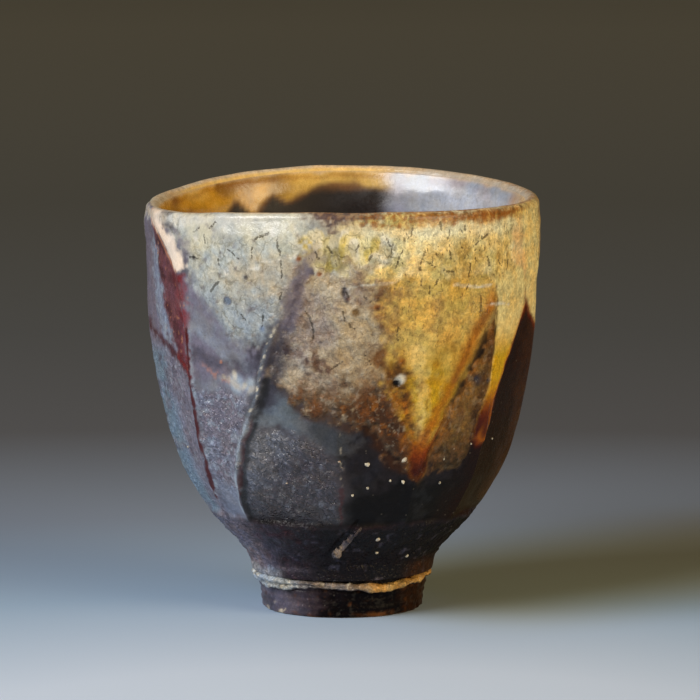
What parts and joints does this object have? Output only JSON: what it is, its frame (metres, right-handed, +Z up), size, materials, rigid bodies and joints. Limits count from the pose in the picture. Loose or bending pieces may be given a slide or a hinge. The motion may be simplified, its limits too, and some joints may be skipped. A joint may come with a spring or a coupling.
{
  "type": "yunomi tea cup",
  "caption": "Tall handleless stoneware tea cup with knife-cut facets, natural ash glaze with amber runs, a glossy liner and a turned foot ring.",
  "frame": {"origin": "middle of the foot ring, on the surface that the cup stands on", "axes": "+Z up along the cup's axis; -Y is the front, the side that the picture shows; +X is to the right seen from the front"},
  "size_m": [0.0812, 0.0815, 0.0859],
  "materials": {
    "stoneware": "dry fired stoneware, toasted at the lip",
    "foot_clay": "dark flashed bare clay, matt",
    "seam_clay": "ragged clay collar, part coated with ash",
    "liner_glaze": "glossy amber to near black",
    "dark_glaze": "dark slate to purple, granular to glossy",
    "ash_glaze": "crackled grey-white to ochre ash glaze",
    "ash_crust": "rough dry beige-brown ash",
    "amber_glaze": "thick glossy amber run",
    "kiln_grit": "pale fused sand",
    "clay_chip": "rough fused clay"
  },
  "bodies": {
    "root": {"clay_body": "stoneware", "foot_ring": "foot_clay", "foot_seam": "seam_clay", "liner_glaze": "liner_glaze", "dark_glaze": "dark_glaze", "ash_glaze": "ash_glaze", "ash_crust": "ash_crust", "amber_runs": "amber_glaze", "kiln_grit": "kiln_grit", "clay_chip": "clay_chip"}
  },
  "joints": []
}
